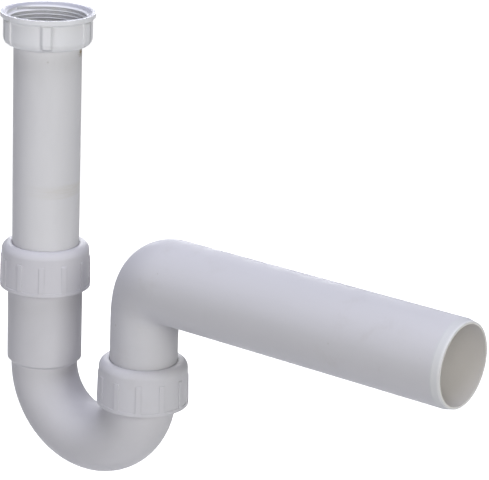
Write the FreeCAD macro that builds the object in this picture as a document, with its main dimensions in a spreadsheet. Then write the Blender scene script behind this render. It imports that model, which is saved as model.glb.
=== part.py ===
import FreeCAD, Part
import os
import Sketcher

# Tubular trap with a threaded inlet at the top and a horizontal outlet pipe.
# The origin is the centre of the mouth of the union nut's thread, +Z is up and +X runs along the outlet pipe.

doc = FreeCAD.newDocument("TubularTrap")
sheet = doc.addObject("Spreadsheet::Sheet", "Sizes")

# Driving dimensions, in millimetres and degrees
SIZES = [
    ("tube_diameter", 40, "outside of the inlet tube, the bend and the outlet leg"),
    ("tube_wall", 2.1, "wall of the inlet tube"),
    ("bend_wall", 2.3, "wall of the bend and the outlet leg"),
    ("outlet_diameter", 50, "outside of the outlet pipe"),
    ("outlet_wall", 2.4, "wall of the outlet pipe"),
    ("outlet_end", 293.5, "from the inlet axis to the end of the outlet pipe"),
    ("outlet_chamfer_length", 4.5, "long outer chamfer at the outlet mouth"),
    ("outlet_chamfer_depth", 1.0, "how much that chamfer takes off the radius"),
    ("axis_spacing", 77.5, "from the inlet axis to the outlet leg's axis"),
    ("bend_depth", 215.1, "from the origin down to the centre of the bend"),
    ("outlet_rise", 73.1, "from the centre of the bend up to the outlet pipe's axis"),
    ("elbow_corner", 1.2, "inside corner radius of the elbow"),
    ("slide_gap", 0.3, "radial gap round the tubes in the nuts, rings and sockets"),
    ("seal_gap", 0.08, "radial gap round the tubes in the seals"),
    ("seat_gap", 0.1, "axial gap at faces that bear on each other"),
    ("union_height", 19.5, "height of the union nut"),
    ("union_lead", 1.2, "height of the chamfer above the thread"),
    ("union_top_width", 2.0, "width of the flat top of the union nut's rim"),
    ("union_floor", 3.0, "thickness of the union nut's floor"),
    ("union_wall", 2.1, "wall of the union nut round its thread"),
    ("union_rim_width", 1.6, "how far the union nut's rim stands out"),
    ("union_rim_height", 2.4, "height of the rim's band"),
    ("union_rim_slope", 1.6, "height of the slope under the rim"),
    ("union_round", 5.0, "rounding at the foot of the union nut"),
    ("thread_length", 9.6, "length of the inlet thread"),
    ("thread_height", 0.7, "step from the plain recess out to the inlet thread's major radius"),
    ("lug_count", 6, "lugs round the union nut"),
    ("lug_angle", 14.6, "width of a lug, in degrees"),
    ("lug_height", 0.9, "how far a lug stands out"),
    ("lug_turn", 10.0, "turn of the first lug from +X, in degrees"),
    ("flange_width", 2.9, "how far the inlet tube's flange stands out"),
    ("flange_gap", 0.4, "radial gap round that flange"),
    ("flange_thickness", 2.5, "thickness of that flange"),
    ("gasket_thickness", 3.0, "flat gasket on the flange"),
    ("gasket_setback", 0.3, "how far the gasket's bore stands back from the tube's bore"),
    ("tube_length", 180, "length of the inlet tube"),
    ("nut_height", 26.5, "height of a compression nut"),
    ("nut_floor", 3.3, "thickness of the closed end of a compression nut"),
    ("nut_wall", 1.7, "wall of a compression nut above its ribs"),
    ("nut_draft", 0.6, "how much wider a compression nut is at its foot, between the ribs"),
    ("nut_round", 4.6, "rounding of a compression nut's shoulder"),
    ("nut_thread_gap", 1.4, "radial gap that holds the nut's and the socket's threads"),
    ("nut_lead", 0.8, "chamfer at the mouth of a compression nut"),
    ("lip_height", 2.0, "height of the lip at the foot of a compression nut"),
    ("rib_count", 12, "ribs round a compression nut"),
    ("rib_angle", 7.0, "width of a rib, in degrees"),
    ("rib_height", 0.4, "how far a rib stands out"),
    ("rib_top", 18.4, "height of the upper end of the ribs"),
    ("inlet_rib_turn", 6.5, "turn of the inlet nut's first rib from +X, in degrees"),
    ("outlet_rib_turn", 3.5, "turn of the outlet nut's first rib from +X, in degrees"),
    ("inlet_nut_rise", 49.6, "from the centre of the bend up to the inlet nut's foot"),
    ("outlet_nut_drop", 5.2, "from the centre of the bend down to the outlet nut's foot"),
    ("ring_gap", 0.6, "radial gap between a pressure ring and its nut"),
    ("ring_thickness", 1.5, "thickness of a pressure ring"),
    ("seal_proud", 1.5, "how far a seal stands above its socket"),
    ("seat_depth", 4.6, "depth of the cone that holds a seal"),
    ("seat_width", 1.6, "how much wider that cone is at the mouth than at its bottom"),
    ("seat_step", 0.2, "step from the socket's bore to the bottom of that cone"),
    ("seat_slack", 0.05, "gap between a seal and its cone"),
    ("head_wall", 0.9, "wall round the cone at a socket's mouth"),
    ("inlet_head_length", 17.0, "threaded length of the inlet socket"),
    ("socket_wall", 2.1, "wall of the inlet socket"),
    ("socket_foot", 3.6, "from the centre of the bend up to the foot of the inlet socket"),
    ("socket_chamfer", 2.2, "height of the step at the foot of the inlet socket"),
    ("socket_floor", 5.0, "from the centre of the bend up to the stop in the inlet socket"),
    ("outlet_head_length", 17.0, "threaded length of the outlet socket"),
    ("outlet_head_slope", 2.4, "height of the slope under the outlet socket's thread"),
    ("outlet_floor", 1.6, "from the centre of the bend up to the stop in the outlet socket"),
    ("stop_gap", 1.2, "from the outlet leg's end to the stop"),
]
for row, (alias, value, note) in enumerate(SIZES, start=1):
    sheet.set(f"A{row}", note)
    sheet.set(f"B{row}", str(value))
    sheet.setAlias(f"B{row}", alias)
doc.recompute()


ALIASES = [alias for alias, value, note in SIZES]


def size(text):
    """Put the sheet's name before each of its aliases in an expression."""
    return " ".join(f"Sizes.{word}" if word in ALIASES else word for word in text.split(" "))


# Worked-out sizes, each an expression on the sheet
TUBE = size("tube_diameter / 2")
TUBE_BORE = size("tube_diameter / 2 - tube_wall")
BEND_BORE = size("tube_diameter / 2 - bend_wall")
PIPE = size("outlet_diameter / 2")
PIPE_BORE = size("outlet_diameter / 2 - outlet_wall")
SLIDE = size("tube_diameter / 2 + slide_gap")
SEAL = size("tube_diameter / 2 + seal_gap")
FLANGE = size("tube_diameter / 2 + flange_width")
RECESS = FLANGE + size(" + flange_gap")
THREAD = RECESS + size(" + thread_height")
UNION_BODY = THREAD + size(" + union_wall")
UNION_RIM = UNION_BODY + size(" + union_rim_width")
SOCKET = SLIDE + size(" + socket_wall")
SEAT_ROOT = SLIDE + size(" + seat_step")
SEAT_MOUTH = SEAT_ROOT + size(" + seat_width")
HEAD = SEAT_MOUTH + size(" + head_wall")
NUT_BORE = HEAD + size(" + nut_thread_gap")
NUT_TOP = NUT_BORE + size(" + nut_wall")
NUT_FOOT = NUT_TOP + size(" + nut_draft")
RIB = NUT_FOOT + size(" + rib_height")
SPACING = size("axis_spacing")
BEND_LEVEL = size("0 - bend_depth")
UNION_FOOT = size("union_lead - union_height")
FLANGE_TOP = size("union_lead - union_height + union_floor + seat_gap + flange_thickness")
NUT_SHOULDER = size("nut_height - nut_floor")
RING_FOOT = size("nut_height - nut_floor - seat_gap - ring_thickness")
SEAL_TOP = size("nut_height - nut_floor - 2 * seat_gap - ring_thickness")
MOUTH = size("nut_height - nut_floor - 2 * seat_gap - ring_thickness - seal_proud")
INLET_NUT_FOOT = size("inlet_nut_rise - bend_depth")
OUTLET_NUT_FOOT = size("0 - outlet_nut_drop - bend_depth")
ON_AXIS = "0"


def number(expression):
    """Value of an expression on the sheet."""
    return float(sheet.evalExpression(expression))


def bind(obj, **expressions):
    """Tie properties of an object to expressions; a double underscore stands for a dot."""
    for name, expression in expressions.items():
        obj.setExpression(name.replace("__", "."), expression)


def place(obj, x="0", z="0", turn="0"):
    """Put an object on its axis, at its height, turned about that axis."""
    obj.Placement = FreeCAD.Placement(FreeCAD.Vector(), FreeCAD.Rotation(FreeCAD.Vector(0, 0, 1), 1.0))
    bind(obj, Placement__Base__x=x, Placement__Base__z=z, Placement__Rotation__Angle=turn)


def newBody(label):
    body = doc.addObject("PartDesign::Body", label)
    body.Label = label
    return body


def outline(body, name, points):
    """Closed outline in the XZ plane, each corner pinned by a radius and a height."""
    sketch = body.newObject("Sketcher::SketchObject", name)
    plane = [item for item in body.Origin.OriginFeatures if item.Role == "XZ_Plane"][0]
    sketch.AttachmentSupport = (plane, [""])
    sketch.MapMode = "FlatFace"
    corners = [FreeCAD.Vector(number(r), number(z), 0) for r, z in points]
    count = len(corners)
    for i in range(count):
        sketch.addGeometry(Part.LineSegment(corners[i], corners[(i + 1) % count]))
    for i in range(count):
        sketch.addConstraint(Sketcher.Constraint("Coincident", i, 2, (i + 1) % count, 1))
    for i, (r, z) in enumerate(points):
        if r == ON_AXIS:
            sketch.addConstraint(Sketcher.Constraint("PointOnObject", i, 1, -2))
        else:
            across = Sketcher.Constraint("DistanceX", -1, 1, i, 1, corners[i].x)
            sketch.setExpression(f"Constraints[{sketch.addConstraint(across)}]", r)
        upward = Sketcher.Constraint("DistanceY", -1, 1, i, 1, corners[i].y)
        sketch.setExpression(f"Constraints[{sketch.addConstraint(upward)}]", z)
    return sketch


def revolve(body, name, points, angle="360"):
    """Turn an outline about the body's Z axis, by a full turn or by a centred sector."""
    sketch = outline(body, f"{name}Outline", points)
    feature = body.newObject("PartDesign::Revolution", name)
    feature.Profile = sketch
    feature.ReferenceAxis = (sketch, ["V_Axis"])
    if angle == "360":
        feature.Angle = 360.0
    else:
        feature.Midplane = True
        feature.setExpression("Angle", angle)
    doc.recompute()
    return feature


def rimEdges(feature, radius, height):
    """Names of the round edges of that radius at that height."""
    names = []
    for i, edge in enumerate(feature.Shape.Edges, start=1):
        curve = edge.Curve
        if not isinstance(curve, Part.Circle):
            continue
        if abs(curve.Radius - number(radius)) < 0.01 and abs(curve.Center.z - number(height)) < 0.01:
            names.append(f"Edge{i}")
    return names


def roundEdges(body, name, base, places, radius):
    """Fillet the round edges of a feature at the given radii and heights."""
    names = [edge for r, z in places for edge in rimEdges(base, r, z)]
    fillet = body.newObject("PartDesign::Fillet", name)
    fillet.Base = (base, names)
    fillet.setExpression("Radius", radius)
    doc.recompute()
    return fillet


def withinWall(radius, outside):
    """A rounding's radius, kept inside the wall between the tube's hole and an outside radius."""
    return f"min({radius}; 0.9 * ({outside} - ({SLIDE})))"


def repeat(body, name, feature, count):
    """Repeat a feature round the body's Z axis."""
    axis = [item for item in body.Origin.OriginFeatures if item.Role == "Z_Axis"][0]
    pattern = body.newObject("PartDesign::PolarPattern", name)
    pattern.Originals = [feature]
    pattern.Axis = (axis, [""])
    pattern.Angle = 360.0
    pattern.setExpression("Occurrences", count)
    body.Tip = pattern
    doc.recompute()
    return pattern


def makeUnionNut():
    """Union nut with a rim, six lugs, the inlet thread's bore and a floor that carries the flange."""
    body = newBody("inlet_union_nut")
    rimFoot = size("union_height - union_rim_height")
    slopeFoot = size("union_height - union_rim_height - union_rim_slope")
    mouth = size("union_height - union_lead")
    threadEnd = size("union_height - union_lead - thread_length")
    lugTop = size("union_height - union_rim_height - union_rim_slope / 3")
    shell = revolve(body, "NutShell", [
        (SLIDE, "0"),
        (UNION_BODY, "0"),
        (UNION_BODY, slopeFoot),
        (UNION_RIM, rimFoot),
        (UNION_RIM, size("union_height")),
        (UNION_RIM + size(" - union_top_width"), size("union_height")),
        (THREAD, mouth),
        (THREAD, threadEnd),
        (RECESS, threadEnd),
        (RECESS, size("union_floor")),
        (SLIDE, size("union_floor")),
    ])
    roundEdges(body, "NutFoot", shell, [(UNION_BODY, "0")], withinWall(size("union_round"), UNION_BODY))
    lug = revolve(body, "Lug", [
        (UNION_BODY + size(" - lug_height"), size("union_round / 2")),
        (UNION_BODY, size("union_round / 2")),
        (UNION_BODY + size(" + lug_height"), size("union_round")),
        (UNION_BODY + size(" + lug_height"), lugTop),
        (UNION_BODY + size(" - lug_height"), lugTop),
    ], size("lug_angle"))
    repeat(body, "Lugs", lug, size("lug_count"))
    place(body, z=UNION_FOOT, turn=size("lug_turn"))
    return body


def makeGasket():
    """Flat ring on the tube's flange, inside the union nut."""
    body = newBody("inlet_flat_gasket")
    bore = TUBE_BORE + size(" + gasket_setback")
    revolve(body, "Ring", [
        (bore, "0"),
        (FLANGE, "0"),
        (FLANGE, size("gasket_thickness")),
        (bore, size("gasket_thickness")),
    ])
    place(body, z=FLANGE_TOP)
    return body


def makeInletTube():
    """Straight tube with the flange that the union nut pulls up."""
    body = newBody("inlet_tube")
    flangeUnder = size("0 - flange_thickness")
    foot = size("0 - tube_length")
    revolve(body, "Tube", [
        (TUBE_BORE, "0"),
        (FLANGE, "0"),
        (FLANGE, flangeUnder),
        (TUBE, flangeUnder),
        (TUBE, foot),
        (TUBE_BORE, foot),
    ])
    place(body, z=FLANGE_TOP)
    return body


def makeCompressionNut(label, x, z, turn):
    """Ribbed nut that presses the ring and the seal into a socket."""
    body = newBody(label)
    lip = size("lip_height")
    shell = revolve(body, "NutShell", [
        (NUT_BORE + size(" + nut_lead"), "0"),
        (RIB, "0"),
        (RIB, lip),
        (NUT_FOOT, lip),
        (NUT_TOP, size("nut_height")),
        (SLIDE, size("nut_height")),
        (SLIDE, NUT_SHOULDER),
        (NUT_BORE, NUT_SHOULDER),
        (NUT_BORE, size("nut_lead")),
    ])
    roundEdges(body, "NutRounding", shell, [(NUT_TOP, size("nut_height"))],
               withinWall(size("nut_round"), NUT_TOP))
    ribRoot = NUT_BORE + size(" + nut_wall / 2")
    ribHead = RIB + size(" - nut_draft * ( rib_top - lip_height ) / ( nut_height - lip_height )")
    rib = revolve(body, "Rib", [
        (ribRoot, size("lip_height / 2")),
        (RIB, size("lip_height / 2")),
        (RIB, lip),
        (ribHead, size("rib_top")),
        (ribRoot, size("rib_top")),
    ], size("rib_angle"))
    repeat(body, "Ribs", rib, size("rib_count"))
    place(body, x=x, z=z, turn=turn)
    return body


def makePressureRing(label, x, z):
    """Plain slip ring between a nut and its seal."""
    body = newBody(label)
    top = RING_FOOT + size(" + ring_thickness")
    outside = NUT_BORE + size(" - ring_gap")
    revolve(body, "Ring", [
        (SLIDE, RING_FOOT),
        (outside, RING_FOOT),
        (outside, top),
        (SLIDE, top),
    ])
    place(body, x=x, z=z)
    return body


def makeConeSeal(label, x, z):
    """Wedge-shaped ring that sits in the cone at a socket's mouth."""
    body = newBody(label)
    foot = MOUTH + size(" - seat_depth + seat_slack")
    revolve(body, "Wedge", [
        (SEAL, foot),
        (SEAT_ROOT + size(" - seat_slack"), foot),
        (SEAT_MOUTH + size(" - seat_slack"), MOUTH),
        (SEAT_MOUTH + size(" - seat_slack"), SEAL_TOP),
        (SEAL, SEAL_TOP),
    ])
    place(body, x=x, z=z)
    return body


def halfTorus(name, radius):
    """Lower half of a ring that joins the two legs."""
    ring = doc.addObject("Part::Torus", name)
    ring.Angle1 = -180.0
    ring.Angle2 = 180.0
    ring.Angle3 = 180.0
    ring.Placement = FreeCAD.Placement(FreeCAD.Vector(), FreeCAD.Rotation(FreeCAD.Vector(1, 0, 0), -90.0))
    bind(ring, Radius1=f"{SPACING} / 2", Radius2=radius,
         Placement__Base__x=f"{SPACING} / 2", Placement__Base__z=BEND_LEVEL)
    return ring


def turned(name, x, points):
    """Helper solid turned about a vertical axis, its heights measured from the centre of the bend."""
    body = newBody(name)
    revolve(body, "Turned", points)
    place(body, x=x, z=BEND_LEVEL)
    return body


def join(name, items):
    fused = doc.addObject("Part::MultiFuse", name)
    fused.Shapes = items
    fused.Refine = True
    return fused


def subtract(name, base, tool):
    result = doc.addObject("Part::Cut", name)
    result.Base = base
    result.Tool = tool
    result.Label = name
    result.Refine = True
    return result


def socketBore(name, x, mouth, floor):
    """Form that is cut out of a socket: the seal's cone, the sliding bore, the stop and the way through."""
    seatFoot = mouth + size(" - seat_depth")
    above = mouth + size(" + seat_depth")
    return turned(name, x, [
        (ON_AXIS, above),
        (SEAT_MOUTH, above),
        (SEAT_MOUTH, mouth),
        (SEAT_ROOT, seatFoot),
        (SLIDE, seatFoot),
        (SLIDE, floor),
        (BEND_BORE, floor + size(" - ( slide_gap + bend_wall ) / 2")),
        (BEND_BORE, "0"),
        (ON_AXIS, "0"),
    ])


def makeBend():
    """The bend with its long inlet socket and its short outlet socket, one moulding."""
    inletMouth = size("inlet_nut_rise + ") + MOUTH
    outletMouth = size("0 - outlet_nut_drop + ") + MOUTH
    inletHeadFoot = inletMouth + size(" - inlet_head_length")
    outletHeadFoot = outletMouth + size(" - outlet_head_length")
    outletSlopeFoot = outletHeadFoot + size(" - outlet_head_slope")
    socket = turned("inlet_socket_form", "0", [
        (ON_AXIS, "0"),
        (TUBE, "0"),
        (TUBE, size("socket_foot - socket_chamfer")),
        (SOCKET, size("socket_foot")),
        (SOCKET, inletHeadFoot),
        (HEAD, inletHeadFoot),
        (HEAD, inletMouth),
        (ON_AXIS, inletMouth),
    ])
    head = turned("outlet_socket_form", SPACING, [
        (ON_AXIS, outletSlopeFoot),
        (TUBE, outletSlopeFoot),
        (HEAD, outletHeadFoot),
        (HEAD, outletMouth),
        (ON_AXIS, outletMouth),
    ])
    outside = join("bend_outside", [halfTorus("bend_arc", TUBE), socket, head])
    inside = join("bend_inside", [
        halfTorus("bend_waterway", BEND_BORE),
        socketBore("inlet_bore_form", "0", inletMouth, size("socket_floor")),
        socketBore("outlet_bore_form", SPACING, outletMouth, size("outlet_floor")),
    ])
    return subtract("trap_bend", outside, inside)


def elbowTurn(name, legRadius, pipeRadius):
    """Solid that turns from the leg to the wider pipe, about the elbow's inside corner."""
    cornerX = size("axis_spacing + tube_diameter / 2 + elbow_corner")
    cornerZ = size("outlet_rise - outlet_diameter / 2 - elbow_corner - bend_depth")
    sections = []
    for step in range(ELBOW_STEPS + 1):
        angle = f"90 deg * {step} / {ELBOW_STEPS}"
        swell = f"sin({angle})^2"
        middle = f"({TUBE} + ({PIPE} - {TUBE}) * {swell} + " + size("elbow_corner") + ")"
        circle = doc.addObject("Part::Circle", f"{name}_{step}")
        circle.Placement = FreeCAD.Placement(FreeCAD.Vector(), FreeCAD.Rotation(FreeCAD.Vector(0, 1, 0), 1.0))
        bind(circle, Radius=f"{legRadius} + ({pipeRadius} - ({legRadius})) * {swell}",
             Placement__Base__x=f"{cornerX} - {middle} * cos({angle})",
             Placement__Base__z=f"{cornerZ} + {middle} * sin({angle})",
             Placement__Rotation__Angle=angle)
        sections.append(circle)
    doc.recompute()
    turn = doc.addObject("Part::Loft", name)
    turn.Sections = sections
    turn.Solid = True
    turn.Ruled = False
    return turn


def makeOutletElbow():
    """Outlet leg, elbow and horizontal pipe, one moulding."""
    legTop = size("outlet_rise - outlet_diameter / 2 - elbow_corner")
    legFoot = size("outlet_floor + stop_gap")
    leg = turned("outlet_leg_form", SPACING, [
        (BEND_BORE, legFoot),
        (TUBE, legFoot),
        (TUBE, legTop),
        (BEND_BORE, legTop),
    ])
    run = size("outlet_end - axis_spacing - tube_diameter / 2 - elbow_corner")
    chamfered = run + size(" - outlet_chamfer_length")
    pipe = newBody("outlet_pipe_form")
    revolve(pipe, "Pipe", [
        (PIPE_BORE, "0"),
        (PIPE, "0"),
        (PIPE, chamfered),
        (PIPE + size(" - outlet_chamfer_depth"), run),
        (PIPE_BORE, run),
    ])
    pipe.Placement = FreeCAD.Placement(FreeCAD.Vector(), FreeCAD.Rotation(FreeCAD.Vector(0, 1, 0), 90.0))
    bind(pipe, Placement__Base__x=size("axis_spacing + tube_diameter / 2 + elbow_corner"),
         Placement__Base__z=size("outlet_rise - bend_depth"))
    shell = subtract("elbow_form", elbowTurn("elbow_outside", TUBE, PIPE),
                     elbowTurn("elbow_inside", BEND_BORE, PIPE_BORE))
    return join("outlet_elbow_pipe", [leg, shell, pipe])


ELBOW_STEPS = 6

nodes = [
    makeUnionNut(),
    makeGasket(),
    makeInletTube(),
    makeCompressionNut("trap_inlet_nut", "0", INLET_NUT_FOOT, size("inlet_rib_turn")),
    makePressureRing("trap_inlet_pressure_ring", "0", INLET_NUT_FOOT),
    makeConeSeal("trap_inlet_cone_seal", "0", INLET_NUT_FOOT),
    makeBend(),
    makeCompressionNut("trap_outlet_nut", SPACING, OUTLET_NUT_FOOT, size("outlet_rib_turn")),
    makePressureRing("trap_outlet_pressure_ring", SPACING, OUTLET_NUT_FOOT),
    makeConeSeal("trap_outlet_cone_seal", SPACING, OUTLET_NUT_FOOT),
    makeOutletElbow(),
]
doc.recompute()

# Every object is checked before anything is written
for item in doc.Objects:
    if "Invalid" in item.State or "Error" in item.State:
        raise RuntimeError(f"{item.Label} failed: {item.State}")
for node in nodes:
    if node.Shape.isNull() or not node.Shape.isValid():
        raise RuntimeError(f"{node.Label} has no valid shape")
    if len(node.Shape.Solids) != 1:
        raise RuntimeError(f"{node.Label} is {len(node.Shape.Solids)} solids")

os.makedirs("parts", exist_ok=True)
for node in nodes:
    node.Shape.exportStep(f"parts/{node.Label}.step")
    box = node.Shape.BoundBox
    print(f"{node.Label:28s} {node.Shape.Volume / 1000:8.2f} cm3"
          f"  x {box.XMin:8.2f} {box.XMax:8.2f}  y {box.YMin:7.2f} {box.YMax:7.2f}"
          f"  z {box.ZMin:8.2f} {box.ZMax:8.2f}")
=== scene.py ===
import math

import bmesh
import bpy
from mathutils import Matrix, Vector


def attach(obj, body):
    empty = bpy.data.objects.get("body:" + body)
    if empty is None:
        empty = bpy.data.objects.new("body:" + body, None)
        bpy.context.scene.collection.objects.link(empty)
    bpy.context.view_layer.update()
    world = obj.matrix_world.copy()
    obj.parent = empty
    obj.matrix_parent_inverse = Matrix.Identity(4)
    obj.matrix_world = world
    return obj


# Tubular trap in white polypropylene. Everything is in metres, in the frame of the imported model:
# the origin is the mouth of the union nut, +Z is up the inlet tube, +X runs along the outlet pipe.

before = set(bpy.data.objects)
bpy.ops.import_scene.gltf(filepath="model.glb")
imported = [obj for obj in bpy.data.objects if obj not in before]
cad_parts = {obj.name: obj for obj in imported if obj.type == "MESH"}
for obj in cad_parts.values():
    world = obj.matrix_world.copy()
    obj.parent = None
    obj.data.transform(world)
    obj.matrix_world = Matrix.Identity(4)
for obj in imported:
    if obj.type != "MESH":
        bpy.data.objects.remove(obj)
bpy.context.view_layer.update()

legAxes = {"inlet": (0.0, 0.0, 0.0), "outlet": (0.0775, 0.0, 0.0)}
fullTurn = 360.0


# Node helpers

def makeGroup(name, inputs, outputs):
    tree = bpy.data.node_groups.new(name, "ShaderNodeTree")
    for label, kind, value in inputs:
        socket = tree.interface.new_socket(name=label, in_out="INPUT", socket_type=kind)
        socket.default_value = value
    for label, kind in outputs:
        tree.interface.new_socket(name=label, in_out="OUTPUT", socket_type=kind)
    return tree, tree.nodes.new("NodeGroupInput").outputs, tree.nodes.new("NodeGroupOutput")


def addNode(tree, kind, label, **settings):
    node = tree.nodes.new(kind)
    node.label = label
    for key, value in settings.items():
        setattr(node, key, value)
    return node


def feed(tree, socket, value):
    # from another node's socket, or with a plain value
    if isinstance(value, bpy.types.NodeSocket):
        tree.links.new(value, socket)
    else:
        socket.default_value = value


def feedInputs(tree, node, **values):
    # an underscore stands for a space in the socket's name
    for key, value in values.items():
        feed(tree, node.inputs[key.replace("_", " ")], value)


def addMath(tree, operation, label, *values):
    node = addNode(tree, "ShaderNodeMath", label, operation=operation)
    for socket, value in zip(node.inputs, values):
        feed(tree, socket, value)
    return node.outputs[0]


def addVectorMath(tree, operation, label, a, b):
    node = addNode(tree, "ShaderNodeVectorMath", label, operation=operation)
    feed(tree, node.inputs[0], a)
    feed(tree, node.inputs[1], b)
    return node.outputs["Value" if operation == "DISTANCE" else "Vector"]


def addRange(tree, label, value, low, high, toLow=0.0, toHigh=1.0):
    node = addNode(tree, "ShaderNodeMapRange", label, interpolation_type="SMOOTHSTEP")
    for socket, given in zip(node.inputs[:5], (value, low, high, toLow, toHigh)):
        feed(tree, socket, given)
    return node.outputs["Result"]


def addMix(tree, label, factor, a, b):
    node = addNode(tree, "ShaderNodeMix", label, data_type="RGBA")
    colours = [socket for socket in node.inputs if socket.type == "RGBA"]
    for socket, value in zip((node.inputs[0], *colours), (factor, a, b)):
        feed(tree, socket, value)
    return [socket for socket in node.outputs if socket.type == "RGBA"][0]


def addNoise(tree, label, vector, scale, detail, roughness):
    node = addNode(tree, "ShaderNodeTexNoise", label)
    feedInputs(tree, node, Vector=vector, Scale=scale, Detail=detail, Roughness=roughness)
    return node.outputs["Fac"]


def splitAxes(tree, label, vector):
    node = addNode(tree, "ShaderNodeSeparateXYZ", label)
    feed(tree, node.inputs[0], vector)
    return node.outputs


def addRadius(tree, a, b):
    squares = addMath(tree, "ADD", "squares", addMath(tree, "MULTIPLY", "one side squared", a, a),
                      addMath(tree, "MULTIPLY", "other side squared", b, b))
    return addMath(tree, "SQRT", "radius", squares)


def addAngle(tree, axes):
    # round Z in degrees, from +X towards +Y
    angle = addMath(tree, "ARCTAN2", "angle", axes["Y"], axes["X"])
    return addMath(tree, "MULTIPLY", "in degrees", angle, fullTurn / math.tau)


# Shared effects. Their forms give a noise as scale, detail and roughness, and a range as its two ends

grainForm = {"fine": (3.0, 0.6), "fineShare": 0.35, "waves": (140.0, 2.0, 0.5), "waveRange": (0.3, 0.7)}


def makeMouldGrain(form):
    # satin texture that a spark-eroded mould leaves on the plastic. The fine grain's scale is an input
    tree, given, result = makeGroup(
        "mould grain",
        [("Vector", "NodeSocketVector", (0, 0, 0)), ("Grains per metre", "NodeSocketFloat", 900.0),
         ("Roughness low", "NodeSocketFloat", 0.40), ("Roughness high", "NodeSocketFloat", 0.55)],
        [("Height", "NodeSocketFloat"), ("Roughness", "NodeSocketFloat")])
    fine = addNoise(tree, "fine grain", given["Vector"], given["Grains per metre"], *form["fine"])
    waves = addNoise(tree, "soft waviness", given["Vector"], *form["waves"])
    fineShare = addMath(tree, "MULTIPLY", "fine share", fine, form["fineShare"])
    height = addMath(tree, "ADD", "grain height", fineShare, waves)
    rough = addRange(tree, "roughness", waves, *form["waveRange"],
                     given["Roughness low"], given["Roughness high"])
    feedInputs(tree, result, Height=height, Roughness=rough)
    return tree


tintForm = {"clouds": (22.0, 2.0, 0.5), "cloudRange": (0.32, 0.72), "streaks": (120.0, 4.0, 0.6),
            "streakRange": (0.40, 0.75), "streakShare": 0.5}


def makeFlowTint(form):
    # slow changes of shade where the plastic flowed into the mould, drawn out along the piece
    tree, given, result = makeGroup(
        "flow tint",
        [("Vector", "NodeSocketVector", (0, 0, 0)), ("Stretch", "NodeSocketVector", (1, 1, 1)),
         ("Colour", "NodeSocketColor", (0.7, 0.7, 0.7, 1)), ("Shade", "NodeSocketColor", (0.6, 0.6, 0.6, 1)),
         ("Amount", "NodeSocketFloat", 0.3)],
        [("Colour", "NodeSocketColor")])
    stretched = addVectorMath(tree, "MULTIPLY", "along the piece", given["Vector"], given["Stretch"])
    broad = addNoise(tree, "broad clouds", stretched, *form["clouds"])
    streak = addNoise(tree, "streaks", stretched, *form["streaks"])
    clouds = addRange(tree, "clouds", broad, *form["cloudRange"])
    drawn = addRange(tree, "drawn streaks", streak, *form["streakRange"], 0.0, form["streakShare"])
    both = addMath(tree, "ADD", "both", clouds, drawn)
    mask = addMath(tree, "MULTIPLY", "amount", both, given["Amount"])
    feedInputs(tree, result, Colour=addMix(tree, "tint", mask, given["Colour"], given["Shade"]))
    return tree


handlingForm = {"film": (60.0, 5.0, 0.65), "filmRange": (0.5, 0.75), "held": (15.0, 1.0, 0.5),
                "heldRange": (0.40, 0.62), "speckScale": 75.0, "speckRange": (0.025, 0.065),
                "speckStrength": 3.2}


def makeHandling(form):
    # dust and finger marks: scattered faint spots and a broken film
    tree, given, result = makeGroup(
        "handling marks",
        [("Vector", "NodeSocketVector", (0, 0, 0)), ("Colour", "NodeSocketColor", (0.7, 0.7, 0.7, 1)),
         ("Mark", "NodeSocketColor", (0.45, 0.42, 0.38, 1)), ("Amount", "NodeSocketFloat", 0.15)],
        [("Colour", "NodeSocketColor")])
    film = addNoise(tree, "broken film", given["Vector"], *form["film"])
    where = addNoise(tree, "where it was held", given["Vector"], *form["held"])
    spots = addNode(tree, "ShaderNodeTexVoronoi", "spots", feature="F1")
    feedInputs(tree, spots, Vector=given["Vector"], Scale=form["speckScale"], Randomness=1.0)
    held = addRange(tree, "held", where, *form["heldRange"])
    broken = addRange(tree, "film", film, *form["filmRange"])
    specks = addRange(tree, "specks", spots.outputs["Distance"], *form["speckRange"],
                      form["speckStrength"], 0.0)
    both = addMath(tree, "ADD", "both", addMath(tree, "MULTIPLY", "held film", broken, held),
                   addMath(tree, "MULTIPLY", "held specks", specks, held))
    mask = addMath(tree, "MULTIPLY", "amount", both, given["Amount"])
    feedInputs(tree, result, Colour=addMix(tree, "marked", mask, given["Colour"], given["Mark"]))
    return tree


def makePartingSeam():
    # hairline where the two halves of the mould met
    tree, given, result = makeGroup(
        "parting seam",
        [("Across", "NodeSocketFloat", 0.0), ("Width", "NodeSocketFloat", 0.00025)],
        [("Height", "NodeSocketFloat")])
    distance = addMath(tree, "ABSOLUTE", "distance", given["Across"])
    feedInputs(tree, result, Height=addRange(tree, "ridge", distance, 0.0, given["Width"], 1.0, 0.0))
    return tree


stainForm = {"edge": (620.0, 4.0, 0.65), "raggedness": 2.2, "fadeRange": (1.1, 2.1)}


def makeStain(form):
    # one ragged blot of dirt at a place on the piece
    tree, given, result = makeGroup(
        "stain",
        [("Vector", "NodeSocketVector", (0, 0, 0)), ("Place", "NodeSocketVector", (0, 0, 0)),
         ("Reach", "NodeSocketFloat", 0.004), ("Strength", "NodeSocketFloat", 0.5)],
        [("Mask", "NodeSocketFloat")])
    away = addVectorMath(tree, "DISTANCE", "from the place", given["Vector"], given["Place"])
    share = addMath(tree, "DIVIDE", "share of reach", away, given["Reach"])
    edge = addNoise(tree, "ragged edge", given["Vector"], *form["edge"])
    ragged = addMath(tree, "MULTIPLY", "raggedness", edge, form["raggedness"])
    uneven = addMath(tree, "ADD", "uneven share", share, ragged)
    blot = addRange(tree, "blot", uneven, *form["fadeRange"], 1.0, 0.0)
    feedInputs(tree, result, Mask=addMath(tree, "MULTIPLY", "strength", blot, given["Strength"]))
    return tree


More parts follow.
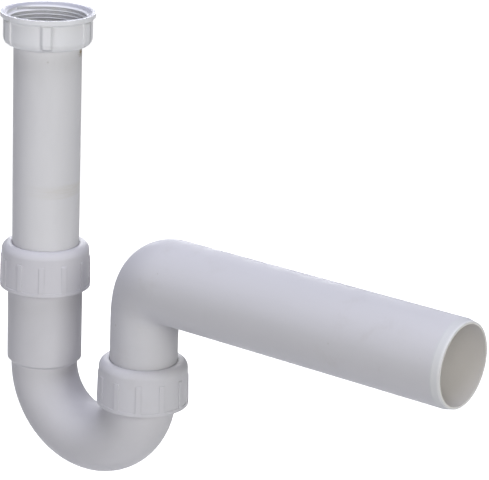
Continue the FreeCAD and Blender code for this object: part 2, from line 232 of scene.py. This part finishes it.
# the first three are shares of the reach, from the flank, and the last is a length
ribEdgeForm = {"creaseFrom": -0.6, "roundFrom": -0.7, "roundTo": 0.5, "endFade": 0.0016}


def makeRibEdge(form):
    # painted shade in the corners beside ribs or lugs set round an axis, and their softened edges
    tree, given, result = makeGroup(
        "rib edge",
        [("Vector", "NodeSocketVector", (0, 0, 0)), ("Axis", "NodeSocketVector", (0, 0, 0)),
         ("Count", "NodeSocketFloat", 12.0), ("Turn", "NodeSocketFloat", 0.0),
         ("Width", "NodeSocketFloat", 7.0), ("Reach", "NodeSocketFloat", 2.0),
         ("Foot", "NodeSocketFloat", 0.0), ("Top", "NodeSocketFloat", 0.01),
         ("Least radius", "NodeSocketFloat", 0.02)],
        [("Crease", "NodeSocketFloat"), ("Round", "NodeSocketFloat")])
    local = addVectorMath(tree, "SUBTRACT", "from the axis", given["Vector"], given["Axis"])
    axes = splitAxes(tree, "round the axis", local)

    # degrees beyond the flank of the nearest rib
    turned = addMath(tree, "SUBTRACT", "from the first rib", addAngle(tree, axes), given["Turn"])
    spacing = addMath(tree, "DIVIDE", "spacing", fullTurn, given["Count"])
    share = addMath(tree, "DIVIDE", "in spacings", turned, spacing)
    part = addMath(tree, "SUBTRACT", "from that rib", share, addMath(tree, "ROUND", "nearest rib", share))
    away = addMath(tree, "MULTIPLY", "away", addMath(tree, "ABSOLUTE", "either side", part), spacing)
    halfWidth = addMath(tree, "MULTIPLY", "half width", given["Width"], 0.5)
    beyond = addMath(tree, "SUBTRACT", "beyond the flank", away, halfWidth)

    creaseFrom = addMath(tree, "MULTIPLY", "crease from", given["Reach"], form["creaseFrom"])
    roundFrom = addMath(tree, "MULTIPLY", "round from", given["Reach"], form["roundFrom"])
    roundTo = addMath(tree, "MULTIPLY", "round to", given["Reach"], form["roundTo"])
    beside = addRange(tree, "beside", beyond, 0.0, given["Reach"], 1.0, 0.0)
    past = addRange(tree, "past the edge", beyond, creaseFrom, 0.0)
    rounded = addRange(tree, "rounded", beyond, roundFrom, roundTo, 1.0, 0.0)

    footEnd = addMath(tree, "ADD", "foot end", given["Foot"], form["endFade"])
    topEnd = addMath(tree, "SUBTRACT", "top end", given["Top"], form["endFade"])
    above = addRange(tree, "above the foot", axes["Z"], given["Foot"], footEnd)
    below = addRange(tree, "below the top", axes["Z"], topEnd, given["Top"], 1.0, 0.0)
    outside = addMath(tree, "GREATER_THAN", "outside", addRadius(tree, axes["X"], axes["Y"]),
                      given["Least radius"])
    zone = addMath(tree, "MULTIPLY", "zone", addMath(tree, "MULTIPLY", "between", above, below), outside)
    corner = addMath(tree, "MULTIPLY", "corner", beside, past)
    feedInputs(tree, result, Crease=addMath(tree, "MULTIPLY", "crease", corner, zone),
               Round=addMath(tree, "MULTIPLY", "round", rounded, zone))
    return tree


def makeRadialShare():
    # how far out from an axis a point lies, between two radii
    tree, given, result = makeGroup(
        "radial share",
        [("Vector", "NodeSocketVector", (0, 0, 0)), ("Axis", "NodeSocketVector", (0, 0, 0)),
         ("Inner", "NodeSocketFloat", 0.020), ("Outer", "NodeSocketFloat", 0.022)],
        [("Share", "NodeSocketFloat")])
    local = addVectorMath(tree, "SUBTRACT", "from the axis", given["Vector"], given["Axis"])
    axes = splitAxes(tree, "round the axis", local)
    radius = addRadius(tree, axes["X"], axes["Y"])
    feedInputs(tree, result, Share=addRange(tree, "share", radius, given["Inner"], given["Outer"]))
    return tree


rubForm = {"core": 0.5, "drawnOut": (0.06, 0.06, 1.0), "lines": (900.0, 3.0, 0.6), "lineRange": (0.35, 0.7),
           "leastLine": 0.25}


def makeRubBand(form):
    # fine scuffed lines round a tube, between two angles, where something was clamped
    tree, given, result = makeGroup(
        "rub band",
        [("Vector", "NodeSocketVector", (0, 0, 0)), ("Level", "NodeSocketFloat", 0.0),
         ("Half height", "NodeSocketFloat", 0.002), ("Middle", "NodeSocketFloat", 0.0),
         ("Half angle", "NodeSocketFloat", 60.0), ("Strength", "NodeSocketFloat", 0.3)],
        [("Mask", "NodeSocketFloat")])
    axes = splitAxes(tree, "round the tube", given["Vector"])
    height = addMath(tree, "ABSOLUTE", "height",
                     addMath(tree, "SUBTRACT", "from the level", axes["Z"], given["Level"]))
    core = addMath(tree, "MULTIPLY", "core", given["Half height"], form["core"])
    near = addRange(tree, "near the level", height, core, given["Half height"], 1.0, 0.0)
    turned = addMath(tree, "ABSOLUTE", "turned",
                     addMath(tree, "SUBTRACT", "from the middle", addAngle(tree, axes), given["Middle"]))
    side = addRange(tree, "side", turned, 0.0, given["Half angle"], 1.0, 0.0)
    drawn = addVectorMath(tree, "MULTIPLY", "drawn out round the tube", given["Vector"], form["drawnOut"])
    fine = addNoise(tree, "fine lines", drawn, *form["lines"])
    lines = addRange(tree, "lines", fine, *form["lineRange"], form["leastLine"], 1.0)
    patch = addMath(tree, "MULTIPLY", "patch", near, side)
    strong = addMath(tree, "MULTIPLY", "strength", lines, given["Strength"])
    feedInputs(tree, result, Mask=addMath(tree, "MULTIPLY", "mask", patch, strong))
    return tree


effects = {
    "grain": makeMouldGrain(grainForm),
    "tint": makeFlowTint(tintForm),
    "handling": makeHandling(handlingForm),
    "seam": makePartingSeam(),
    "stain": makeStain(stainForm),
    "ribEdge": makeRibEdge(ribEdgeForm),
    "radialShare": makeRadialShare(),
    "rubBand": makeRubBand(rubForm),
}
print("effects built:", len(effects))


def useEffect(tree, effect, **values):
    group = effects[effect]
    node = addNode(tree, "ShaderNodeGroup", group.name, node_tree=group)
    feedInputs(tree, node, **values)
    return node.outputs


def startMaterial(name):
    material = bpy.data.materials.new(name)
    material.use_nodes = True
    tree = material.node_tree
    return material, tree, tree.nodes["Principled BSDF"]


def addSurface(tree, shader, place, look):
    # gloss, roughness and grain of a moulded skin
    grain = useEffect(tree, "grain", Vector=place, Grains_per_metre=look["grains"],
                      Roughness_low=look["rough"][0], Roughness_high=look["rough"][1])
    bump = addNode(tree, "ShaderNodeBump", "surface")
    feedInputs(tree, bump, Strength=look["bump"], Distance=look["bumpDepth"], Height=grain["Height"])
    feedInputs(tree, shader, IOR=look["ior"], Specular_IOR_Level=look["gloss"],
               Roughness=grain["Roughness"], Normal=bump.outputs["Normal"])
    return grain["Height"], bump


# White plastic: one material, its colour painted lighter or darker per part as painted light and shade,
# lightest on the union nut and its thread

plasticBase = {"ior": 1.49, "bumpDepth": 0.0004}
plasticLooks = {
    "unionNutWhite": {
        "colour": (0.850, 0.850, 0.865, 1), "shade": (0.80, 0.80, 0.82, 1), "tint": 0.20,
        "stretch": (1.0, 1.0, 0.6), "grains": 1100.0, "rough": (0.34, 0.44), "bump": 0.10,
        "marks": 0.10, "gloss": 0.10},
    "tubeWhite": {
        "colour": (0.765, 0.757, 0.770, 1), "shade": (0.69, 0.685, 0.695, 1), "tint": 0.35,
        "stretch": (1.0, 1.0, 0.25), "grains": 900.0, "rough": (0.40, 0.54), "bump": 0.08,
        "marks": 0.16, "gloss": 0.06},
    "inletNutWhite": {
        "colour": (0.700, 0.688, 0.716, 1), "shade": (0.62, 0.61, 0.645, 1), "tint": 0.30,
        "stretch": (1.0, 1.0, 0.5), "grains": 1000.0, "rough": (0.34, 0.44), "bump": 0.12,
        "marks": 0.10, "gloss": 0.10},
    "outletNutWhite": {
        "colour": (0.675, 0.667, 0.695, 1), "shade": (0.60, 0.59, 0.62, 1), "tint": 0.30,
        "stretch": (1.0, 1.0, 0.5), "grains": 1000.0, "rough": (0.34, 0.44), "bump": 0.12,
        "marks": 0.10, "gloss": 0.10},
    "threadWhite": {
        "colour": (0.850, 0.850, 0.870, 1), "shade": (0.81, 0.81, 0.83, 1), "tint": 0.20,
        "stretch": (1.0, 1.0, 1.0), "grains": 1200.0, "rough": (0.34, 0.44), "bump": 0.06,
        "marks": 0.06, "gloss": 0.10},
    "bendWhite": {
        "colour": (0.675, 0.664, 0.686, 1), "shade": (0.60, 0.59, 0.61, 1), "tint": 0.35,
        "stretch": (0.6, 1.0, 0.6), "grains": 800.0, "rough": (0.42, 0.56), "bump": 0.12,
        "marks": 0.16, "gloss": 0.06},
    "pipeWhite": {
        "colour": (0.662, 0.654, 0.677, 1), "shade": (0.60, 0.595, 0.615, 1), "tint": 0.30,
        "stretch": (0.2, 1.0, 1.0), "grains": 800.0, "rough": (0.42, 0.56), "bump": 0.12,
        "marks": 0.14, "gloss": 0.06},
    "ringWhite": {
        "colour": (0.74, 0.74, 0.74, 1), "shade": (0.68, 0.68, 0.68, 1), "tint": 0.20,
        "stretch": (1.0, 1.0, 1.0), "grains": 1200.0, "rough": (0.30, 0.40), "bump": 0.06,
        "marks": 0.06, "gloss": 0.15},
}


def makePlastic(name, look):
    material, tree, shader = startMaterial(name)
    place = addNode(tree, "ShaderNodeTexCoord", "place on the piece").outputs["Object"]
    tint = useEffect(tree, "tint", Vector=place, Stretch=look["stretch"], Colour=look["colour"],
                     Shade=look["shade"], Amount=look["tint"])
    marks = useEffect(tree, "handling", Vector=place, Colour=tint["Colour"], Amount=look["marks"])
    feedInputs(tree, shader, Base_Color=marks["Colour"])
    height, bump = addSurface(tree, shader, place, {**plasticBase, **look})
    return {"material": material, "tree": tree, "shader": shader, "place": place,
            "colour": marks["Colour"], "height": height, "bump": bump}


plastics = {name: makePlastic(name, look) for name, look in plasticLooks.items()}


def recolour(plastic, colour):
    feedInputs(plastic["tree"], plastic["shader"], Base_Color=colour)


# Bend and pipe

seamLook = {"width": 0.00022, "height": 0.5}


def addSeam(plastic, look):
    tree = plastic["tree"]
    across = splitAxes(tree, "across the seam", plastic["place"])["Y"]
    seam = useEffect(tree, "seam", Across=across, Width=look["width"])
    raised = addMath(tree, "MULTIPLY", "seam height", seam["Height"], look["height"])
    height = addMath(tree, "ADD", "grain and seam", plastic["height"], raised)
    feedInputs(tree, plastic["bump"], Height=height)


addSeam(plastics["bendWhite"], seamLook)
addSeam(plastics["pipeWhite"], seamLook)

# ranges along the pipe, then its axis and bore
pipeEndLook = {"cut": (0.2872, 0.2892), "cutColour": (0.655, 0.660, 0.670, 1),
               "edge": (0.2916, 0.2933), "edgeColour": (0.77, 0.77, 0.77, 1),
               "pastElbow": (0.100, 0.104), "paintedBoreLightColour": (0.80, 0.775, 0.75, 1),
               "axisLevel": -0.142, "insideRadius": 0.0232}


def finishPipeEnd(plastic, look):
    # the cut end is a little greener than the moulded skin and its edge whiter; the bore is painted lighter
    # and warmer, as painted light bounced into it
    tree = plastic["tree"]
    axes = splitAxes(tree, "along and round the pipe", plastic["place"])
    cut = addRange(tree, "cut end", axes["X"], *look["cut"])
    colour = addMix(tree, "cut colour", cut, plastic["colour"], look["cutColour"])
    edge = addRange(tree, "edge", axes["X"], *look["edge"])
    colour = addMix(tree, "edge colour", edge, colour, look["edgeColour"])
    up = addMath(tree, "SUBTRACT", "above the axis", axes["Z"], look["axisLevel"])
    within = addMath(tree, "LESS_THAN", "in the bore", addRadius(tree, up, axes["Y"]), look["insideRadius"])
    beyond = addRange(tree, "past the elbow", axes["X"], *look["pastElbow"])
    inside = addMath(tree, "MULTIPLY", "inside", within, beyond)
    recolour(plastic, addMix(tree, "bore with painted light", inside, colour, look["paintedBoreLightColour"]))


finishPipeEnd(plastics["pipeWhite"], pipeEndLook)


# Inlet tube: a smudge under the union nut, and scuffed lines where it was once clamped

smudgeLook = {"place": (0.0182, 0.0083, -0.0212), "reach": 0.0044, "strength": 1.0,
              "colour": (0.26, 0.19, 0.10, 1)}
rubLook = {"level": -0.1030, "halfHeight": 0.0050, "middle": -10.0, "halfAngle": 95.0, "strength": 0.34,
           "colour": (0.60, 0.55, 0.43, 1)}


def addTubeMarks(plastic, smudge, rub):
    tree = plastic["tree"]
    blot = useEffect(tree, "stain", Vector=plastic["place"], Place=smudge["place"],
                     Reach=smudge["reach"], Strength=smudge["strength"])
    colour = addMix(tree, "smudged", blot["Mask"], plastic["colour"], smudge["colour"])
    band = useEffect(tree, "rubBand", Vector=plastic["place"], Level=rub["level"],
                     Half_height=rub["halfHeight"], Middle=rub["middle"],
                     Half_angle=rub["halfAngle"], Strength=rub["strength"])
    recolour(plastic, addMix(tree, "scuffed", band["Mask"], colour, rub["colour"]))


addTubeMarks(plastics["tubeWhite"], smudgeLook, rubLook)


# Ribs and lugs of the nuts, with painted shade beside them, and their edges rounded.
# Turn, width and reach are in degrees, and height is how far the rounding stands out

# colour of the painted shade beside ribs and lugs and on the mouths of the nuts; each look's crease is its
# share of it
paintedShadeColour = (0.36, 0.36, 0.40, 1)
ribLooks = {
    "unionNutWhite": {
        "axis": legAxes["inlet"], "count": 6, "turn": 10.0, "width": 13.0, "reach": 3.4,
        "foot": -0.0172, "top": -0.0015, "leastRadius": 0.0238, "crease": 0.03, "height": 0.0010},
    "inletNutWhite": {
        "axis": legAxes["inlet"], "count": 12, "turn": 6.5, "width": 7.0, "reach": 1.5,
        "foot": -0.1637, "top": -0.1468, "leastRadius": 0.0255, "crease": 0.10, "height": 0.00015},
    "outletNutWhite": {
        "axis": legAxes["outlet"], "count": 12, "turn": 3.5, "width": 7.0, "reach": 1.5,
        "foot": -0.2185, "top": -0.2016, "leastRadius": 0.0255, "crease": 0.08, "height": 0.00012},
}


def addRibEdges(plastic, look):
    tree = plastic["tree"]
    edge = useEffect(tree, "ribEdge", Vector=plastic["place"], Axis=look["axis"], Count=look["count"],
                     Turn=look["turn"], Width=look["width"], Reach=look["reach"], Foot=look["foot"],
                     Top=look["top"], Least_radius=look["leastRadius"])
    rounding = addNode(tree, "ShaderNodeBump", "rounded flanks")
    feedInputs(tree, rounding, Strength=1.0, Distance=look["height"], Height=edge["Round"])
    feedInputs(tree, plastic["bump"], Normal=rounding.outputs["Normal"])
    share = addMath(tree, "MULTIPLY", "crease share", edge["Crease"], look["crease"])
    return addMix(tree, "crease colour", share, plastic["colour"], paintedShadeColour)


mouthPaintedShadeLook = {"inner": 0.0204, "outer": 0.0216, "strength": 0.60}


def addPaintedMouthShade(plastic, colour, axis, look):
    # painted shade on the inner edge of the mouth, where it meets the tube
    tree = plastic["tree"]
    outward = useEffect(tree, "radialShare", Vector=plastic["place"], Axis=axis,
                        Inner=look["inner"], Outer=look["outer"])["Share"]
    near = addMath(tree, "SUBTRACT", "near the tube", 1.0, outward)
    mask = addMath(tree, "MULTIPLY", "painted shade at the mouth", near, look["strength"])
    recolour(plastic, addMix(tree, "mouth with painted shade", mask, colour, paintedShadeColour))


rimPaintedShadeLook = {"level": (-0.0006, 0.0002), "inner": 0.0268, "outer": 0.0275, "strength": 0.95,
           "colour": (0.47, 0.47, 0.525, 1)}


def addPaintedRimShade(plastic, colour, axis, look):
    # painted shade: the top of the union nut's rim and the chamfer inside it are coloured greyer than its
    # sides
    tree = plastic["tree"]
    up = splitAxes(tree, "up to the rim", plastic["place"])["Z"]
    level = addRange(tree, "up there", up, *look["level"], 0.0, look["strength"])
    outward = useEffect(tree, "radialShare", Vector=plastic["place"], Axis=axis,
                        Inner=look["inner"], Outer=look["outer"])["Share"]
    within = addMath(tree, "SUBTRACT", "inside the outer edge", 1.0, outward)
    mask = addMath(tree, "MULTIPLY", "painted shade on the rim", level, within)
    recolour(plastic, addMix(tree, "rim with painted shade", mask, colour, look["colour"]))


creaseShaded = {name: addRibEdges(plastics[name], look) for name, look in ribLooks.items()}
for name, side in (("inletNutWhite", "inlet"), ("outletNutWhite", "outlet")):
    addPaintedMouthShade(plastics[name], creaseShaded[name], legAxes[side], mouthPaintedShadeLook)
addPaintedRimShade(plastics["unionNutWhite"], creaseShaded["unionNutWhite"], legAxes["inlet"], rimPaintedShadeLook)

groovePaintedShadeLook = {"inner": 0.0231, "outer": 0.0239, "strength": 0.45, "colour": (0.38, 0.38, 0.42, 1)}


def addPaintedGrooveShade(plastic, axis, look):
    # painted shade: the thread is coloured darker down in its grooves than on its crests
    tree = plastic["tree"]
    outward = useEffect(tree, "radialShare", Vector=plastic["place"], Axis=axis,
                        Inner=look["inner"], Outer=look["outer"])["Share"]
    mask = addMath(tree, "MULTIPLY", "painted shade in the grooves", outward, look["strength"])
    recolour(plastic, addMix(tree, "grooves with painted shade", mask, plastic["colour"], look["colour"]))


addPaintedGrooveShade(plastics["threadWhite"], legAxes["inlet"], groovePaintedShadeLook)
print("plastics made:", len(plastics))


# Grey rubber of the flat gasket and the cone seals

rubberLook = {"colour": (0.060, 0.060, 0.064, 1), "bloom": (0.20, 0.20, 0.20, 1), "bloomAmount": 0.35,
              "stretch": (1.0, 1.0, 1.0), "rough": (0.55, 0.75), "grains": 1500.0, "bump": 0.2,
              "bumpDepth": 0.0003, "ior": 1.52, "gloss": 0.35}


def makeRubber(look):
    material, tree, shader = startMaterial("sealRubber")
    place = addNode(tree, "ShaderNodeTexCoord", "place on the piece").outputs["Object"]
    tint = useEffect(tree, "tint", Vector=place, Stretch=look["stretch"], Colour=look["colour"],
                     Shade=look["bloom"], Amount=look["bloomAmount"])
    feedInputs(tree, shader, Base_Color=tint["Colour"])
    addSurface(tree, shader, place, look)
    return material


rubber = makeRubber(rubberLook)

finishes = {
    "inlet_union_nut": plastics["unionNutWhite"]["material"],
    "inlet_tube": plastics["tubeWhite"]["material"],
    "inlet_flat_gasket": rubber,
    "trap_inlet_nut": plastics["inletNutWhite"]["material"],
    "trap_inlet_pressure_ring": plastics["ringWhite"]["material"],
    "trap_inlet_cone_seal": rubber,
    "trap_bend": plastics["bendWhite"]["material"],
    "trap_outlet_nut": plastics["outletNutWhite"]["material"],
    "trap_outlet_pressure_ring": plastics["ringWhite"]["material"],
    "trap_outlet_cone_seal": rubber,
    "outlet_elbow_pipe": plastics["pipeWhite"]["material"],
}
for name, material in finishes.items():
    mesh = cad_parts[name].data
    mesh.materials.clear()
    mesh.materials.append(material)
print("finishes given:", len(finishes))


# Threads. Profile shares are from the root out to the crest, and offsets are in pitches

pipeThreadProfile = [(-0.10, -0.46), (0.0, -0.44), (0.72, -0.16), (0.93, -0.09), (1.0, 0.0), (0.93, 0.09),
                     (0.72, 0.16), (0.0, 0.44), (-0.10, 0.46)]
roundThreadProfile = [(-0.10, -0.28), (0.0, -0.26), (0.70, -0.15), (1.0, -0.07), (1.0, 0.07), (0.70, 0.15),
                      (0.0, 0.26), (-0.10, 0.28)]
leastRidge = 0.04  # share of the ridge's height that is left at its ends


def makeThread(name, thread, body, material):
    # a ridge wound up a right-hand helix, faded out at both ends
    mesh = bpy.data.meshes.new(name)
    form = bmesh.new()
    centre = thread["centre"]
    turns = (thread["top"] - thread["foot"]) / thread["pitch"]
    steps = round(turns * thread["stepsPerTurn"])
    rows = []
    for step in range(steps + 1):
        along = step / steps
        angle = math.radians(thread["startAngle"]) + along * turns * math.tau
        level = thread["foot"] + along * (thread["top"] - thread["foot"])
        fromEnd = min(along, 1 - along) * turns * math.tau
        grown = math.sin(min(1.0, fromEnd / math.radians(thread["fade"])) * math.pi / 2) ** 2
        ridge = leastRidge + (1 - leastRidge) * grown
        crest = thread["root"] + (thread["crest"] - thread["root"]) * ridge
        row = []
        for share, offset in thread["profile"]:
            radius = thread["root"] + (crest - thread["root"]) * share
            x = centre[0] + radius * math.cos(angle)
            y = centre[1] + radius * math.sin(angle)
            row.append(form.verts.new((x, y, level + offset * thread["pitch"])))
        rows.append(row)
    count = len(thread["profile"])
    for low, high in zip(rows, rows[1:]):
        for i in range(count):
            j = (i + 1) % count
            form.faces.new((low[i], low[j], high[j], high[i]))
    form.faces.new(rows[0])
    form.faces.new(list(reversed(rows[-1])))
    bmesh.ops.recalc_face_normals(form, faces=form.faces)
    for face in form.faces:
        face.smooth = True
    form.to_mesh(mesh)
    form.free()
    piece = bpy.data.objects.new(name, mesh)
    bpy.context.scene.collection.objects.link(piece)
    mesh.materials.append(material)
    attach(piece, body)


inletThread = {"centre": legAxes["inlet"], "root": 0.02400, "crest": 0.02242, "pitch": 0.002309,
               "foot": -0.0100, "top": -0.0006, "startAngle": 155.0, "fade": 40.0, "stepsPerTurn": 96,
               "profile": pipeThreadProfile}
makeThread("inletThread", inletThread, "union_nut", plastics["threadWhite"]["material"])

# The nuts' threads run half a pitch from the sockets', so both stay in mesh as a nut turns and rises
socketThread = {"root": 0.0230, "crest": 0.0241, "pitch": 0.003, "turns": 5, "belowMouth": 0.0160,
                "startAngle": -60.0, "fade": 30.0, "stepsPerTurn": 96, "profile": roundThreadProfile}
nutThread = {"root": 0.0244, "crest": 0.0233, "pitch": 0.003, "turns": 5, "belowMouth": 0.0175,
             "startAngle": -60.0, "fade": 30.0, "stepsPerTurn": 96, "profile": roundThreadProfile}
sockets = {
    "inlet": {"mouth": -0.1455, "nut": "inlet_nut", "finish": "inletNutWhite"},
    "outlet": {"mouth": -0.2003, "nut": "outlet_nut", "finish": "outletNutWhite"},
}
for side, socket in sockets.items():
    for name, thread, body, finish in (
            (f"{side}SocketThread", socketThread, "bend", "bendWhite"),
            (f"{side}NutThread", nutThread, socket["nut"], socket["finish"])):
        foot = socket["mouth"] - thread["belowMouth"]
        top = foot + thread["turns"] * thread["pitch"]
        wound = dict(thread, centre=legAxes[side], foot=foot, top=top)
        makeThread(name, wound, body, plastics[finish]["material"])
print("threads cut")


# Stage: floor, world, lamps and camera

def addShown(tree):
    # 1 for what the camera sees, straight on or through gloss and glass, so that all of it is white
    seen = addNode(tree, "ShaderNodeLightPath", "how it is seen").outputs
    mirrored = addMath(tree, "MAXIMUM", "mirrored", seen["Is Glossy Ray"], seen["Is Transmission Ray"])
    return addMath(tree, "MAXIMUM", "shown", seen["Is Camera Ray"], mirrored)


# the floor's own light rises from lift to full between near and far
floorLook = {"level": -0.56, "reach": 6.0, "colour": (0.80, 0.80, 0.80, 1), "rough": 0.9,
             "light": (1, 1, 1, 1), "lift": 0.95, "near": 0.7, "far": 1.6}


def makeFloor(look):
    mesh = bpy.data.meshes.new("floor")
    form = bmesh.new()
    bmesh.ops.create_grid(form, x_segments=1, y_segments=1, size=look["reach"])
    form.to_mesh(mesh)
    form.free()
    floor = bpy.data.objects.new("floor", mesh)
    floor.location.z = look["level"]
    bpy.context.scene.collection.objects.link(floor)
    material, tree, shader = startMaterial("paleFloor")
    place = addNode(tree, "ShaderNodeTexCoord", "place on the floor").outputs["Object"]
    away = useEffect(tree, "radialShare", Vector=place, Inner=look["near"], Outer=look["far"])["Share"]
    level = addRange(tree, "whiter far out", away, 0.0, 1.0, look["lift"], 1.0)
    lift = addMath(tree, "MULTIPLY", "lift", addShown(tree), level)
    feedInputs(tree, shader, Base_Color=look["colour"], Roughness=look["rough"], Specular_IOR_Level=0.0,
               Emission_Color=look["light"], Emission_Strength=lift)
    mesh.materials.append(material)


worldLook = {"ambient": (0.92, 0.94, 1.0, 1), "ambientStrength": 0.03, "backdrop": (1, 1, 1, 1)}


def makeWorld(look):
    world = bpy.data.worlds.new("studio")
    bpy.context.scene.world = world
    world.use_nodes = True
    tree = world.node_tree
    shown = addShown(tree)
    colour = addMix(tree, "colour", shown, look["ambient"], look["backdrop"])
    strength = addRange(tree, "strength", shown, 0.0, 1.0, look["ambientStrength"], 1.0)
    feedInputs(tree, tree.nodes["Background"], Color=colour, Strength=strength)


lampAim = (0.1, 0.0, -0.13)
lampLooks = {
    "overhead softbox": {"place": (0.1, -0.05, 1.1), "size": (1.1, 0.8), "power": 12.0,
                         "colour": (0.83, 0.85, 1.0)},
    "right front softbox": {"place": (1.45, -0.45, 0.30), "size": (0.5, 0.5), "power": 8.3,
                            "colour": (0.985, 1.0, 0.97)},
    "left front softbox": {"place": (-0.2, -1.45, 0.35), "size": (0.6, 0.6), "power": 5.2,
                           "colour": (0.93, 0.95, 1.0)},
    "front softbox": {"place": (0.95, -1.15, 0.30), "size": (0.5, 0.5), "power": 2.7,
                      "colour": (1.0, 0.95, 0.91)},
    "back softbox": {"place": (-0.75, 1.05, 0.20), "size": (0.7, 0.7), "power": 6.0,
                     "colour": (0.97, 0.98, 1.0)},
}


def makeLamp(name, look):
    lamp = bpy.data.lights.new(name, "AREA")
    lamp.shape = "RECTANGLE"
    lamp.size, lamp.size_y = look["size"]
    lamp.energy = look["power"]
    lamp.color = look["colour"]
    holder = bpy.data.objects.new(name, lamp)
    holder.location = look["place"]
    aim = Vector(lampAim) - Vector(look["place"])
    holder.rotation_euler = aim.to_track_quat("-Z", "Y").to_euler()
    bpy.context.scene.collection.objects.link(holder)


cameraLook = {"place": (0.86572, -0.97833, 0.28640), "turn": (72.1056, -2.1448, 36.9775),
              "lens": 168.409, "sensor": 36.0, "clip": (0.05, 50.0)}


def makeCamera(look):
    camera = bpy.data.cameras.new("camera")
    camera.lens = look["lens"]
    camera.sensor_width = look["sensor"]
    camera.clip_start, camera.clip_end = look["clip"]
    holder = bpy.data.objects.new("camera", camera)
    holder.location = look["place"]
    holder.rotation_euler = [math.radians(angle) for angle in look["turn"]]
    bpy.context.scene.collection.objects.link(holder)
    bpy.context.scene.camera = holder


makeFloor(floorLook)
makeWorld(worldLook)
for name, look in lampLooks.items():
    makeLamp(name, look)
makeCamera(cameraLook)
bpy.context.scene.view_settings.view_transform = "Standard"
print("stage set")
